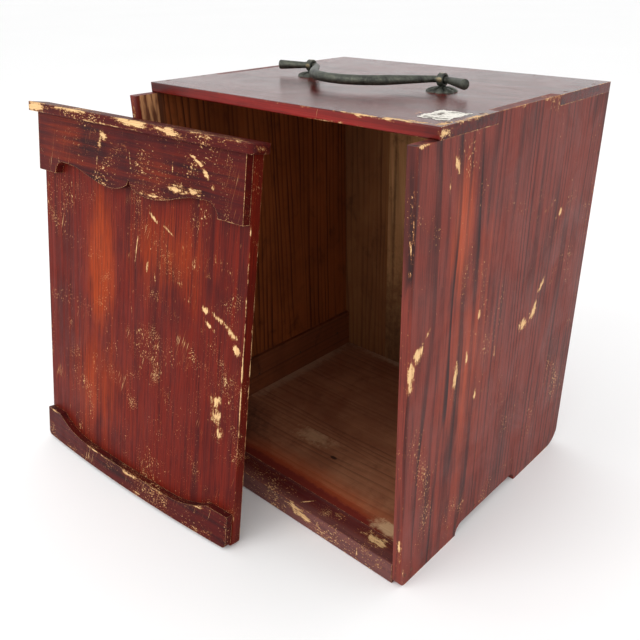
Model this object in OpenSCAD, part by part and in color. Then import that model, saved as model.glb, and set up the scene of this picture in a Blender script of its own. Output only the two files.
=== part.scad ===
// A small lacquered wooden carrying box with a lift-off front door and a bronze bail handle.
// +X is to the right of someone facing the open front, +Y runs to the back, +Z is up.
// The origin is the middle of the front sill's underside, on the ground.

/* [Box] */
// Overall width of the box
width = 272; // [220:1:340]
// Overall depth of the box
depth = 248; // [200:1:320]
// Height of the side boards where the top board rests on them
side_h = 325.5; // [260:0.5:420]
// Thickness of the side boards
side_t = 8; // [7:0.5:12]
// Thickness of the top board
top_t = 7.5; // [7:0.5:12]
// Thickness of the back planks
back_t = 8.5; // [6:0.5:12]
// Thickness of the floor boards
floor_t = 9; // [6:0.5:12]
// How far the top board stops short of the sides' front edges
door_recess = 20; // [18:0.5:30]
// Rounding of the long worn edges
edge_r = 1.2; // [0.5:0.1:2]

/* [Feet and floor] */
// Height of the cut-out that leaves feet under each side
foot_cut_h = 9.5; // [6:0.5:14]
// Length of the front foot along the ground
front_foot = 73; // [50:1:85]
// Length of the flat stretch of the cut-out
foot_gap = 75; // [50:1:85]
// Rounding of each side's front bottom corner
front_corner_r = 7; // [4:0.5:10]
// Rounding of each side's rear bottom corner
rear_corner_r = 18; // [10:1:26]
// Height of the top of the sill and the floor above the ground
floor_top = 18.5; // [17:0.5:24]
// Depth of the front sill
sill_d = 20; // [14:0.5:28]
// Depth of the front floor board, measured from the sides' front edges
front_floor_d = 86; // [50:1:110]
// Height of the inside battens above the floor
batten_h = 40; // [20:1:60]
// Thickness of the inside battens
batten_t = 4; // [3:0.5:8]
// Distance of the back's left joint from the middle
back_joint_left = 70; // [30:1:90]
// Distance of the back's right joint from the middle
back_joint_right = 30; // [20:1:90]

/* [Door] */
// Thickness of the door panel
panel_t = 8; // [6:0.5:9]
// Distance of the panel's face behind the cap's front edge
cap_lip = 11.2; // [10:0.1:11.4]
// Gap between the panel and each side board when the door is home
door_side_gap = 0.6; // [0.3:0.1:2]
// Gap under the panel when the cap rests on the sides
door_foot_gap = 0.5; // [0.3:0.1:2]
// Gap between the cap and the top board
cap_gap = 0.5; // [0.3:0.1:1.5]
// How far the middle of the door's foot has bowed forward
cup = 5; // [1:0.5:6]
// Thickness of the carved apron
apron_t = 6.4; // [4:0.1:8]
// Height of the apron's ends
apron_h = 48; // [36:1:60]
// Height cut out of the apron's lower edge
apron_cut = 10.5; // [6:0.5:14]
// Width of each plain end of the apron
apron_end = 25; // [15:1:40]
// Thickness of the foot rail
rail_t = 6; // [4:0.1:6]
// Height of the foot rail's ends
rail_end_h = 30; // [24:1:40]
// Height of the foot rail's middle
rail_mid_h = 18; // [12:1:22]
// Width of each plain end of the foot rail
rail_end = 22; // [15:1:40]
// How far the apron and the rail stop short of the panel's edges
trim_inset = 1.5; // [0:0.5:4]

/* [Door standing in front] */
// How far the door's middle stands left of the box's middle
door_left = 116.5; // [100:0.5:125]
// How far the door leans back
door_lean = 9.9; // [6:0.1:14]
// How far the door is turned away from square
door_turn = 3; // [0:0.1:6]
// Gap left between the leaning door and the side it leans on
lean_gap = 0.3; // [0.2:0.1:1]

/* [Handle] */
// Distance between the middles of the two eyes
eye_span = 128; // [110:1:150]
// How far the eyes are behind the middle of the box
eye_back = 2; // [-10:1:20]
// Outside radius of an eye
eye_ro = 4.6; // [4:0.1:6]
// Width of an eye's band
eye_w = 5; // [3:0.5:7]
// Radius of the handle's journals
journal_r = 2.4; // [2:0.1:2.8]
// Radial clearance of a journal in its eye
journal_gap = 0.35; // [0.2:0.05:0.6]
// Radius of the grip
grip_r = 3.5; // [3:0.1:4.5]
// Radius of the end of each stub
stub_r = 3.7; // [3:0.1:4.4]
// Reach of the grip from the eyes
grip_reach = 43.3; // [38:0.1:50]
// Angle of the handle's arms
arm_angle = 50; // [45:1:56]
// Length of each stub
stub_len = 22; // [14:1:30]
// Angle of the stubs
stub_angle = 27; // [10:1:40]
// Radius of the rosettes
rosette_r = 11.5; // [10:0.5:16]
// Height of the rosettes
rosette_h = 3.2; // [2.5:0.1:3.6]

/* [Pegs and pins] */
// Diameter of the wooden pegs
peg_d = 3; // [2:0.5:4]
// Length of the wooden pegs
peg_len = 22; // [18:1:30]
// Radial clearance of the pegs and the pins
peg_gap = 0.05; // [0.02:0.01:0.1]
// Diameter of the door's pins
pin_d = 2; // [1.5:0.1:2.5]

/* [Hidden] */
$fn = 64;

cut = 1;                                  // how far a cutting shape runs past a face
front_y = -sill_d / 2;
back_y = front_y + depth;
top_z = side_h + top_t;
inner_w = width - 2 * side_t;             // clear width between the side boards
inner_x = inner_w / 2;
inner_back_y = back_y - back_t;
floor_z = floor_top - floor_t;            // underside of the floor boards
third = depth / 3;                        // the finger joint splits the side into three

red = [0.42, 0.13, 0.10];
bare = [0.62, 0.44, 0.26];
bronze = [0.36, 0.37, 0.32];

// ---------- general shapes ----------

// A rectangle with rounded corners, from the origin
module round_rect(w, h, r) {
    translate([r, 0])
        square([w - 2 * r, h]);
    translate([0, r])
        square([w, h - 2 * r]);
    for (x = [r, w - r], y = [r, h - r])
        translate([x, y])
            circle(r);
}

// Extrudes an outline drawn in Y and Z along X, from x0
module along_x(x0, length) {
    translate([x0, 0, 0])
        rotate([90, 0, 90])
            linear_extrude(length)
                children();
}

// Extrudes an outline drawn in X and Z along Y, from y0
module along_y(y0, length) {
    translate([0, y0 + length, 0])
        rotate([90, 0, 0])
            linear_extrude(length)
                children();
}

// What rounding a bottom right-hand corner at the origin takes away, in a drawn outline
module corner_waste(r) {
    translate([-r, -cut])
        difference() {
            square(r + cut);
            translate([0, r + cut])
                circle(r);
        }
}

// A round bar along X that starts at a point and runs a signed length
module bar_x(p, length, d) {
    translate([min(p.x, p.x + length), p.y, p.z])
        rotate([0, 90, 0])
            cylinder(d = d, h = abs(length));
}

// ---------- pegs, as solids (grow = 0) or as their holes (grow = peg_gap) ----------

peg_end = 14;                             // distance of an end peg from the edge of its board
top_peg_ys = [front_y + door_recess + peg_end, front_y + third - peg_end,
    back_y - third + peg_end, back_y - back_t - peg_end];
back_peg_xs = [-back_joint_left - 24, (back_joint_right - back_joint_left) / 2, back_joint_right + 44];
back_peg_zs = [for (k = [0:3]) floor_top + 30 + k * (side_h - floor_top - 76) / 3];
floor_peg_ys = [front_y + sill_d + 16, front_y + front_floor_d - peg_end, front_y + front_floor_d + peg_end,
    inner_back_y - 60, inner_back_y - peg_end];
sill_peg_ys = [front_y + 6, front_y + sill_d - 6];
batten_pin_ys = [for (k = [0:3]) front_y + sill_d + 20 + k * (depth - sill_d - back_t - 40) / 3];

// Pegs down through the top board into the sides and the back
module top_peg_set(grow, over) {
    for (side = [-1, 1], y = top_peg_ys)
        translate([side * (width - side_t) / 2, y, top_z - peg_len])
            cylinder(d = peg_d + 2 * grow, h = peg_len + over);
    for (x = back_peg_xs)
        translate([x, back_y - back_t / 2, top_z - peg_len])
            cylinder(d = peg_d + 2 * grow, h = peg_len + over);
}

// Pegs through the sides into the edges of the back planks
module back_peg_set(grow, over) {
    for (side = [-1, 1], z = back_peg_zs)
        bar_x([side * (width / 2 + over), back_y - back_t / 2, z], -side * (peg_len + over), peg_d + 2 * grow);
}

// Pegs through the sides into the ends of the floor boards
module floor_peg_set(grow, over) {
    for (side = [-1, 1], y = floor_peg_ys)
        bar_x([side * (width / 2 + over), y, floor_top - floor_t / 2], -side * (peg_len + over), peg_d + 2 * grow);
}

// Pegs through the sides into the ends of the sill
module sill_peg_set(grow, over) {
    for (side = [-1, 1], y = sill_peg_ys)
        bar_x([side * (width / 2 + over), y, floor_top / 2], -side * (peg_len + over), peg_d + 2 * grow);
}

// Pins from inside through the battens into the sides
module batten_pin_set(grow, over) {
    pin_len = batten_t + side_t / 2;
    for (side = [-1, 1], y = batten_pin_ys)
        bar_x([side * (inner_x - batten_t - over), y, floor_top + batten_h / 2], side * (pin_len + over),
            pin_d + 2 * grow);
}

// ---------- the box ----------

// Outline of a side board: feet, tongue and rounded corners, in Y and Z
module side_outline() {
    cove = foot_cut_h;
    gap_y = front_y + front_foot + cove;
    difference() {
        union() {
            translate([front_y, front_corner_r])
                square([depth, side_h - front_corner_r]);
            translate([front_y + front_corner_r, 0])
                square([depth - front_corner_r, side_h]);
            translate([front_y + front_corner_r, front_corner_r])
                circle(front_corner_r);
            translate([front_y + third, side_h - cut])
                square([third, top_t + cut]);
        }
        translate([back_y, 0])
            corner_waste(rear_corner_r);
        translate([gap_y, -cut])
            square([foot_gap, foot_cut_h + cut]);
        for (y = [gap_y, gap_y + foot_gap])
            translate([y, 0])
                circle(cove);
    }
}

// A side board with its long front and rear edges rounded
module side_board(side) {
    color(red)
        difference() {
            intersection() {
                along_x(side > 0 ? inner_x : -width / 2, side_t)
                    side_outline();
                translate([side > 0 ? inner_x : -width / 2, front_y, -cut])
                    linear_extrude(top_z + 2 * cut)
                        round_rect(side_t, depth, edge_r);
            }
            top_peg_set(peg_gap, cut);
            back_peg_set(peg_gap, cut);
            floor_peg_set(peg_gap, cut);
            sill_peg_set(peg_gap, cut);
            batten_pin_set(peg_gap, cut);
        }
}

module side_left() side_board(-1);

module side_right() side_board(1);

module top_board() {
    color(red)
        difference() {
            intersection() {
                translate([-width / 2, front_y + door_recess, side_h])
                    cube([width, depth - door_recess, top_t]);
                along_x(-width / 2 - cut, width + 2 * cut)
                    translate([front_y + door_recess, side_h])
                        round_rect(depth - door_recess, top_t, edge_r);
                translate([-width / 2, front_y + door_recess, side_h - cut])
                    linear_extrude(top_t + 2 * cut)
                        round_rect(width, depth - door_recess, edge_r);
            }
            for (side = [-1, 1])
                translate([side > 0 ? inner_x : -width / 2 - cut, front_y + third, side_h - cut])
                    cube([side_t + cut, third, top_t + 2 * cut]);
            top_peg_set(peg_gap, cut);
            for (side = [-1, 1])
                leg_slot(side);
        }
}

// A back plank between two X positions
module back_plank(x0, x1) {
    color(bare)
        difference() {
            translate([x0, inner_back_y, floor_z])
                cube([x1 - x0, back_t, side_h - floor_z]);
            top_peg_set(peg_gap, cut);
            back_peg_set(peg_gap, cut);
        }
}

module back_left() back_plank(-inner_x, -back_joint_left);

module back_middle() back_plank(-back_joint_left, back_joint_right);

module back_right() back_plank(back_joint_right, inner_x);

// A floor board between two Y positions
module floor_board(y0, y1) {
    color(bare)
        difference() {
            translate([-inner_x, y0, floor_z])
                cube([inner_w, y1 - y0, floor_t]);
            floor_peg_set(peg_gap, cut);
        }
}

module floor_front() floor_board(front_y + sill_d, front_y + front_floor_d);

module floor_rear() floor_board(front_y + front_floor_d, inner_back_y);

module front_sill() {
    color(red)
        difference() {
            along_x(-inner_x, inner_w)
                translate([front_y, 0]) {
                    translate([edge_r, 0])
                        square([sill_d - edge_r, floor_top]);
                    translate([0, edge_r])
                        square([sill_d, floor_top - 2 * edge_r]);
                    for (z = [edge_r, floor_top - edge_r])
                        translate([edge_r, z])
                            circle(edge_r);
                }
            sill_peg_set(peg_gap, cut);
        }
}

module batten(side) {
    color(bare)
        difference() {
            translate([side > 0 ? inner_x - batten_t : -inner_x, front_y + door_recess + 2, floor_top])
                cube([batten_t, depth - door_recess - back_t - 2, batten_h]);
            batten_pin_set(peg_gap, cut);
        }
}

module batten_left() batten(-1);

module batten_right() batten(1);

module top_pegs() color(bare) top_peg_set(0, 0);

module back_pegs() color(bare) back_peg_set(0, 0);

module floor_pegs() color(bare) floor_peg_set(0, 0);

module sill_pegs() color(bare) sill_peg_set(0, 0);

module batten_pins() color(bronze) batten_pin_set(0, 0);

// ---------- the handle and its eyes ----------

pivot_y = front_y + depth / 2 + eye_back;
pivot_z = top_z + rosette_h + eye_ro;
eye_ri = journal_r + journal_gap;
leg_w = 3.6;                              // width of an eye's split legs along X
leg_t = 1.5;                              // thickness of each leg
leg_reach = 13;                           // length of a leg bent out under the top board
band_r = 0.7;                             // rounding of an eye's band
petals = 8;                               // petals of a rosette
nick_r = 2.6;                             // radius of the nick between two petals at the rim
nick_out = 1;                             // how far outside the rim the nick is centred
groove_r = 0.8;                           // radius of the groove between two petals
groove_z = 0.55;                          // height of the groove's line at the rim
groove_in = 3;                            // how far the groove stops short of the middle

// The slot that an eye's legs pass through
module leg_slot(side) {
    translate([side * eye_span / 2 - leg_w / 2 - peg_gap, pivot_y - leg_t - peg_gap, side_h - cut])
        cube([leg_w + 2 * peg_gap, 2 * (leg_t + peg_gap), top_t + rosette_h + 2 * cut]);
}

// A split eye: a round band for the handle, and two legs bent out under the top board
module eye(side) {
    leg_top = pivot_z - (eye_ro + eye_ri) / 2;
    color(bronze)
        translate([side * eye_span / 2, pivot_y, 0]) {
            difference() {
                union() {
                    translate([0, 0, pivot_z])
                        rotate([0, 90, 0])
                            rotate_extrude()
                                translate([eye_ri, -eye_w / 2])
                                    round_rect(eye_ro - eye_ri, eye_w, band_r);
                    translate([-leg_w / 2, -leg_t, side_h - leg_t])
                        cube([leg_w, 2 * leg_t, leg_top - side_h + leg_t]);
                }
                translate([-eye_w, 0, pivot_z])
                    rotate([0, 90, 0])
                        cylinder(r = eye_ri, h = 2 * eye_w);
            }
            translate([-leg_w / 2, -leg_reach, side_h - leg_t])
                cube([leg_w, 2 * leg_reach, leg_t]);
        }
}

module eye_left() eye(-1);

module eye_right() eye(1);

// A domed rosette with eight petals
module rosette(side) {
    ball_r = (rosette_r * rosette_r + rosette_h * rosette_h) / (2 * rosette_h);
    slope = atan2(rosette_h, rosette_r);
    color(bronze)
        difference() {
            translate([side * eye_span / 2, pivot_y, top_z])
                difference() {
                    intersection() {
                        translate([0, 0, rosette_h - ball_r])
                            sphere(ball_r, $fn = 160);
                        cylinder(r = rosette_r, h = rosette_h);
                    }
                    for (k = [0:petals - 1])
                        rotate([0, 0, (k + 0.5) * 360 / petals]) {
                            translate([rosette_r + nick_out, 0, -cut])
                                cylinder(r = nick_r, h = rosette_h + 2 * cut);
                            translate([rosette_r + nick_out, 0, groove_z])
                                rotate([0, slope - 90, 0])
                                    cylinder(r = groove_r, h = rosette_r - groove_in);
                        }
                }
            leg_slot(side);
        }
}

module rosette_left() rosette(-1);

module rosette_right() rosette(1);

journal_half = eye_w / 2 + 1.2;           // half the length of a journal
bend_r = journal_r + 2.9;                 // radius of the bends beside the journals
drop = 1 - cos(arm_angle);
bow_x = eye_span / 2 - journal_half - bend_r * sin(arm_angle);
bow_y = grip_reach - bend_r * drop;
arm_len = (bow_y * sin(arm_angle) - bow_x * drop) / drop;
bow_r = (bow_x * sin(arm_angle) - bow_y * cos(arm_angle)) / drop;
bail_sides = 24;                          // sides of the handle's round section
stub_chamfer = 0.9;                       // chamfer at the end of each stub

// A stretch of bar cut in equal steps [length, turn, radius at the end]
function stretch(length, turn, r0, r1, steps) =
    [for (k = [1:steps]) [length / steps, turn / steps, r0 + (r1 - r0) * k / steps]];

// Half the handle, from the middle of its grip to the end of a stub
half_bail = concat(
    stretch(bow_r * arm_angle * PI / 180, -arm_angle, grip_r, grip_r, 14),
    stretch(arm_len, 0, grip_r, journal_r, 3),
    stretch(bend_r * arm_angle * PI / 180, arm_angle, journal_r, journal_r, 6),
    stretch(2 * journal_half, 0, journal_r, journal_r, 2),
    stretch(bend_r * stub_angle * PI / 180, stub_angle, journal_r, journal_r, 4),
    stretch(stub_len - stub_chamfer, 0, journal_r, stub_r, 3),
    stretch(stub_chamfer, 0, stub_r, stub_r - stub_chamfer, 1)
);

// The straight distance covered by a step that turns
function chord(length, turn) = turn == 0 ? length : length * sin(turn / 2) / (PI * turn / 360);

// Follows the steps from a station [x, y, heading, radius] and lists every station
function stations(steps, at, k = 0) =
    k == len(steps) ? [at]
    : let (s = steps[k], go = chord(s[0], s[1]), way = at[2] + s[1] / 2)
        concat([at], stations(steps, [at[0] + go * cos(way), at[1] + go * sin(way), at[2] + s[1], s[2]], k + 1));

// A round bar through stations in the X-Y plane, with one ring of points at each
module swept_bar(line) {
    n = bail_sides;
    points = [for (s = line, k = [0:n - 1])
        let (t = 360 * k / n)
            [s[0] - s[3] * cos(t) * sin(s[2]), s[1] + s[3] * cos(t) * cos(s[2]), s[3] * sin(t)]];
    last = (len(line) - 1) * n;
    walls = [for (i = [0:len(line) - 2], k = [0:n - 1])
        let (a = i * n + k, b = i * n + (k + 1) % n)
            each [[a, b, b + n], [a, b + n, a + n]]];
    ends = [[for (k = [n - 1:-1:0]) k], [for (k = [0:n - 1]) last + k]];
    polyhedron(points, concat(walls, ends));
}

module bail() {
    half = stations(half_bail, [0, grip_reach, 0, grip_r]);
    other = [for (k = [len(half) - 1:-1:1]) [-half[k][0], half[k][1], -half[k][2], half[k][3]]];
    color(bronze)
        translate([0, pivot_y, pivot_z])
            rotate([0, 0, 180])
                swept_bar(concat(other, half));
}

// ---------- the door, drawn where it closes the box ----------

panel_w = inner_w - 2 * door_side_gap;
panel_x = panel_w / 2;
panel_z = floor_top + door_foot_gap;
panel_h = side_h - panel_z;
face_y = front_y + cap_lip;               // the panel's front face
trim_x = panel_x - trim_inset;
cup_r = (panel_x * panel_x + cup * cup) / (2 * cup);
cup_fn = 720;                             // sides of the very large circles of the bowed foot
flat_z = side_h - apron_h - 4;            // the panel is flat from here up
bowed_z = panel_z + rail_end_h + 2;       // and evenly bowed up to here

// How far the bow brings the panel forward at x
function bow_at(x) = sqrt(cup_r * cup_r - x * x) - cup_r + cup;

// The panel: flat behind the apron, bowed behind the foot rail, straight lines between
module panel_body() {
    strips = 24;
    rows = [[panel_z, 1], [bowed_z, 1], [flat_z, 0], [side_h, 0]];
    across = strips + 1;
    points = [for (back = [0, 1], row = rows, k = [0:strips])
        let (x = -panel_x + k * panel_w / strips)
            [x, face_y + back * panel_t - row[1] * bow_at(x), row[0]]];
    function at(back, row, k) = (back * len(rows) + row) * across + k;
    function two(a, b, c, d) = [[a, b, c], [a, c, d]];
    last = len(rows) - 1;
    quads = concat(
        [for (r = [0:last - 1], k = [0:strips - 1])
            [at(0, r, k), at(0, r + 1, k), at(0, r + 1, k + 1), at(0, r, k + 1)]],
        [for (r = [0:last - 1], k = [0:strips - 1])
            [at(1, r, k), at(1, r, k + 1), at(1, r + 1, k + 1), at(1, r + 1, k)]],
        [for (k = [0:strips - 1]) [at(0, 0, k), at(0, 0, k + 1), at(1, 0, k + 1), at(1, 0, k)]],
        [for (k = [0:strips - 1]) [at(0, last, k), at(1, last, k), at(1, last, k + 1), at(0, last, k + 1)]],
        [for (r = [0:last - 1]) [at(0, r, 0), at(1, r, 0), at(1, r + 1, 0), at(0, r + 1, 0)]],
        [for (r = [0:last - 1]) [at(0, r, strips), at(0, r + 1, strips), at(1, r + 1, strips), at(1, r, strips)]]
    );
    faces = [for (q = quads, t = two(q[0], q[1], q[2], q[3])) t];
    polyhedron(points, faces);
}

cap_d = door_recess - cap_gap;
cap_behind = cap_d - cap_lip;             // how far the cap reaches behind the panel's face
panel_foot_r = 3;                         // rounding of the panel's bottom corners
cap_corner_r = 6;                         // rounding of the cap's four corners seen from above
cap_end_r = 3.6;                          // rounding of the cap's ends seen from the front
cap_edge_r = 1.6;                         // rounding of the cap's long edges

// Moves the door from where it closes the box to where it stands, leaning on the left side's edge
module standing() {
    reach = (cap_behind - cap_edge_r) * cos(door_lean) + (top_z - panel_z - cap_edge_r) * sin(door_lean)
        + cap_edge_r;
    along = (door_left - inner_x + reach * sin(door_turn)) / cos(door_turn);
    stand_y = front_y - lean_gap - along * sin(door_turn) - reach * cos(door_turn);
    translate([-door_left, stand_y, panel_t * sin(door_lean)])
        rotate([0, 0, door_turn])
            rotate([-door_lean, 0, 0])
                translate([0, -face_y, -panel_z])
                    children();
}

module door_panel_home() {
    difference() {
        intersection() {
            panel_body();
            along_y(face_y - 3 * cup, 6 * cup + panel_t)
                translate([0, panel_z])
                    difference() {
                        translate([-panel_x, 0])
                            square([panel_w, panel_h + cut]);
                        for (side = [0, 1])
                            mirror([side, 0])
                                translate([panel_x, 0])
                                    corner_waste(panel_foot_r);
                    }
        }
        cap_peg_set(peg_gap, cut);
        apron_pin_set(peg_gap, cut);
        rail_pin_set(peg_gap, cut);
    }
}

module door_cap_home() {
    difference() {
        intersection() {
            translate([-width / 2, front_y, side_h - cut])
                linear_extrude(top_t + 2 * cut)
                    round_rect(width, cap_d, cap_corner_r);
            along_y(front_y - cut, cap_d + 2 * cut)
                translate([-width / 2, side_h])
                    round_rect(width, top_t, cap_end_r);
            along_x(-width / 2 - cut, width + 2 * cut)
                translate([front_y, side_h])
                    round_rect(cap_d, top_t, cap_edge_r);
        }
        cap_peg_set(peg_gap, cut);
    }
}

apron_span = trim_x - apron_end - apron_cut - 6;  // half the width of the apron's two lobes
lobe = 0.3 * apron_span;                  // distance of a lobe's lowest point from the middle
lobe_rise = 0.5;                          // how far the lobes stay above the apron's ends

// Lower edge of the apron below the cap, at a distance u from the middle
function apron_edge(u) =
    u >= apron_span ? apron_h - apron_cut
    : u >= lobe ? apron_h - lobe_rise
        - (apron_cut - lobe_rise) / 2 * (1 - cos(180 * (u - lobe) / (apron_span - lobe)))
    : apron_h - apron_cut + (apron_cut - lobe_rise) * sqrt(1 - pow(1 - u / lobe, 2));

module apron_outline() {
    steps = 40;
    cove_x = trim_x - apron_end - apron_cut;
    half = [for (k = [0:steps]) let (u = apron_span * k / steps) [u, -apron_edge(u)]];
    for (side = [0, 1])
        mirror([side, 0])
            difference() {
                polygon(concat([[0, 0]], half,
                    [[cove_x, apron_cut - apron_h], [cove_x + apron_cut, -apron_h], [trim_x, -apron_h], [trim_x, 0]]));
                translate([cove_x, -apron_h])
                    circle(apron_cut);
            }
}

module door_apron_home() {
    difference() {
        along_y(face_y - apron_t, apron_t)
            translate([0, side_h])
                apron_outline();
        apron_pin_set(peg_gap, cut);
    }
}

rail_sweep = 48;                          // length over which the rail drops to its middle height
rail_power = 2.2;                         // how late that sweep steepens
rail_corner_r = 4;                        // rounding of the rail's bottom corners
rail_slope = 1;                           // drop of the rail's ends toward the panel's edges

// The foot rail's outline: tall ends that sweep down to a low middle
module rail_outline() {
    steps = 16;
    inner = trim_x - rail_end;
    rise = rail_end_h - rail_mid_h;
    curve = [for (k = [0:steps])
        [inner - rail_sweep + rail_sweep * k / steps, rail_mid_h + rise * pow(k / steps, rail_power)]];
    for (side = [0, 1])
        mirror([side, 0])
            difference() {
                polygon(concat([[0, 0], [0, rail_mid_h]], curve, [[trim_x, rail_end_h - rail_slope], [trim_x, 0]]));
                translate([trim_x, 0])
                    corner_waste(rail_corner_r);
            }
}

module door_rail_home() {
    difference() {
        intersection() {
            along_y(face_y - rail_t - 2 * cup, rail_t + 3 * cup)
                translate([0, panel_z])
                    rail_outline();
            translate([0, face_y - cup + cup_r, panel_z - cut])
                linear_extrude(rail_end_h + 2 * cut)
                    difference() {
                        circle(cup_r + rail_t, $fn = cup_fn);
                        circle(cup_r, $fn = cup_fn);
                    }
        }
        rail_pin_set(peg_gap, cut);
    }
}

cap_peg_xs = [for (k = [0:3]) (k - 1.5) * panel_w / 4];
apron_pin_xs = [for (k = [0:4]) (k - 2) * trim_x / 2.3];
rail_pin_xs = [for (k = [0:4]) (k - 2) * trim_x / 2.2];

// Pegs down through the cap into the panel's top end
module cap_peg_set(grow, over) {
    for (x = cap_peg_xs)
        translate([x, face_y + panel_t / 2, top_z - peg_len])
            cylinder(d = peg_d + 2 * grow, h = peg_len + over);
}

// Pins from behind through the panel into the apron
module apron_pin_set(grow, over) {
    pin_len = panel_t + apron_t - 2;
    for (x = apron_pin_xs)
        translate([x, face_y + panel_t + over, side_h - peg_len - 6])
            rotate([90, 0, 0])
                cylinder(d = pin_d + 2 * grow, h = pin_len + over);
}

// Pins from behind through the panel into the foot rail
module rail_pin_set(grow, over) {
    pin_len = panel_t + rail_t - 2;
    for (x = rail_pin_xs)
        translate([x, face_y + panel_t + over - bow_at(x), panel_z + rail_mid_h / 2])
            rotate([90, 0, 0])
                cylinder(d = pin_d + 2 * grow, h = pin_len + over);
}

module door_panel() color(red) standing() door_panel_home();

module door_cap() color(red) standing() door_cap_home();

module door_apron() color(red) standing() door_apron_home();

module door_rail() color(red) standing() door_rail_home();

module cap_pegs() color(bare) standing() cap_peg_set(0, 0);

module apron_pins() color(bronze) standing() apron_pin_set(0, 0);

module rail_pins() color(bronze) standing() rail_pin_set(0, 0);

side_left();
side_right();
top_board();
back_left();
back_middle();
back_right();
floor_front();
floor_rear();
front_sill();
batten_left();
batten_right();
top_pegs();
back_pegs();
floor_pegs();
sill_pegs();
batten_pins();
eye_left();
eye_right();
rosette_left();
rosette_right();
bail();
door_panel();
door_cap();
door_apron();
door_rail();
cap_pegs();
apron_pins();
rail_pins();
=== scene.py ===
"""Finishes of a lacquered wooden carrying box: worn red lacquer, bare wood, patinated bronze."""

import logging
import math
from dataclasses import dataclass, field, replace
from enum import Enum
from typing import Iterable, Optional, Sequence, Union

import bpy
import numpy as np
from mathutils import Euler, Matrix, Vector


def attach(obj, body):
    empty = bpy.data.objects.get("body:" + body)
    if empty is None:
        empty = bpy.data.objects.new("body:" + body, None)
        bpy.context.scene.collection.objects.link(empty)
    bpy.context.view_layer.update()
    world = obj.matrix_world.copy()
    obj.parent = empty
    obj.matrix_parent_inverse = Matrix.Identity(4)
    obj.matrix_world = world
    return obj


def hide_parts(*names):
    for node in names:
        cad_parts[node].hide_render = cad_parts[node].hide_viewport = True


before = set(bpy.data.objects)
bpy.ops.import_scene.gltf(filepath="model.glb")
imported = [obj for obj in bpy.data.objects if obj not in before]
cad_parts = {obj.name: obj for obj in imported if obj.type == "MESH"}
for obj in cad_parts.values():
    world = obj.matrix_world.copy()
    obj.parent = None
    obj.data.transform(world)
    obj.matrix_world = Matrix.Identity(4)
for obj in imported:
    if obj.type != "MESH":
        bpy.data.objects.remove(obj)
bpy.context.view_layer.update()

log = logging.getLogger("carrying_box")
MM = 0.001  # metres in a millimetre
SKIN = 0.00015  # how far past a board's inner face its lacquered sides begin
SEED_STEP = (0.37, 0.73, 0.19)  # how far one seed moves the noise along each axis
RELIEF = 0.0004  # height of the grain and the chips

Colour = tuple[float, float, float]
Socket = bpy.types.NodeSocket
Value = Union[float, Socket]


class Axis(Enum):
    """The direction that a board's grain runs in."""

    X = 0
    Y = 1
    Z = 2


@dataclass(frozen=True)
class Sizes:
    """The box's main sizes in metres, as the solid parts have them."""

    width: float = 0.272
    depth: float = 0.248
    front_y: float = -0.010
    side_h: float = 0.3255
    side_t: float = 0.008
    top_t: float = 0.0075
    recess: float = 0.020

    @property
    def inner_x(self) -> float:
        """Half the clear width between the side boards."""
        return self.width / 2 - self.side_t

    @property
    def back_y(self) -> float:
        """The outer face of the back."""
        return self.front_y + self.depth

    @property
    def top_z(self) -> float:
        """The upper face of the top board."""
        return self.side_h + self.top_t


SIZES = Sizes()


@dataclass(frozen=True)
class Lay:
    """Where a piece lies: its own axes are turned and moved from the box's."""

    place: Colour = (0.0, 0.0, 0.0)
    turn: Colour = (0.0, 0.0, 0.0)

    def matrix(self) -> Matrix:
        """The matrix from the piece's own axes to the box's."""
        return Matrix.Translation(Vector(self.place)) @ Euler(self.turn).to_matrix().to_4x4()

    def local_box(self, node: str) -> tuple[np.ndarray, np.ndarray]:
        """Lowest and highest corner of a CAD node along the piece's own axes.

        Args:
            node: The CAD node's name.

        Returns:
            Two arrays of three numbers, in metres.
        """
        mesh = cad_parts[node].data
        points = np.empty(len(mesh.vertices) * 3)
        mesh.vertices.foreach_get("co", points)
        back = np.array(self.matrix().inverted())
        own = points.reshape(-1, 3) @ back[:3, :3].T + back[:3, 3]
        return own.min(axis=0), own.max(axis=0)


BOX_LAY = Lay()


@dataclass(frozen=True)
class DoorStand:
    """How the lifted-off door stands against the left side board."""

    left: float = 0.1165
    lean: float = 9.9
    turned: float = 3.0
    gap: float = 0.0003
    panel_t: float = 0.008
    behind: float = 0.0083
    foot_z: float = 0.019
    cap_edge: float = 0.0016

    def lay(self) -> Lay:
        """The door's own axes: X across, Y back from the panel's face, Z up from its foot."""
        lean, turned = math.radians(self.lean), math.radians(self.turned)
        back, rise = self.behind - self.cap_edge, SIZES.top_z - self.foot_z - self.cap_edge
        reach = back * math.cos(lean) + rise * math.sin(lean) + self.cap_edge
        along = (self.left - SIZES.inner_x + reach * math.sin(turned)) / math.cos(turned)
        y = SIZES.front_y - self.gap - along * math.sin(turned) - reach * math.cos(turned)
        return Lay((-self.left, y, self.panel_t * math.sin(lean)), (-lean, 0.0, turned))


DOOR_LAY = DoorStand().lay()


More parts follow.
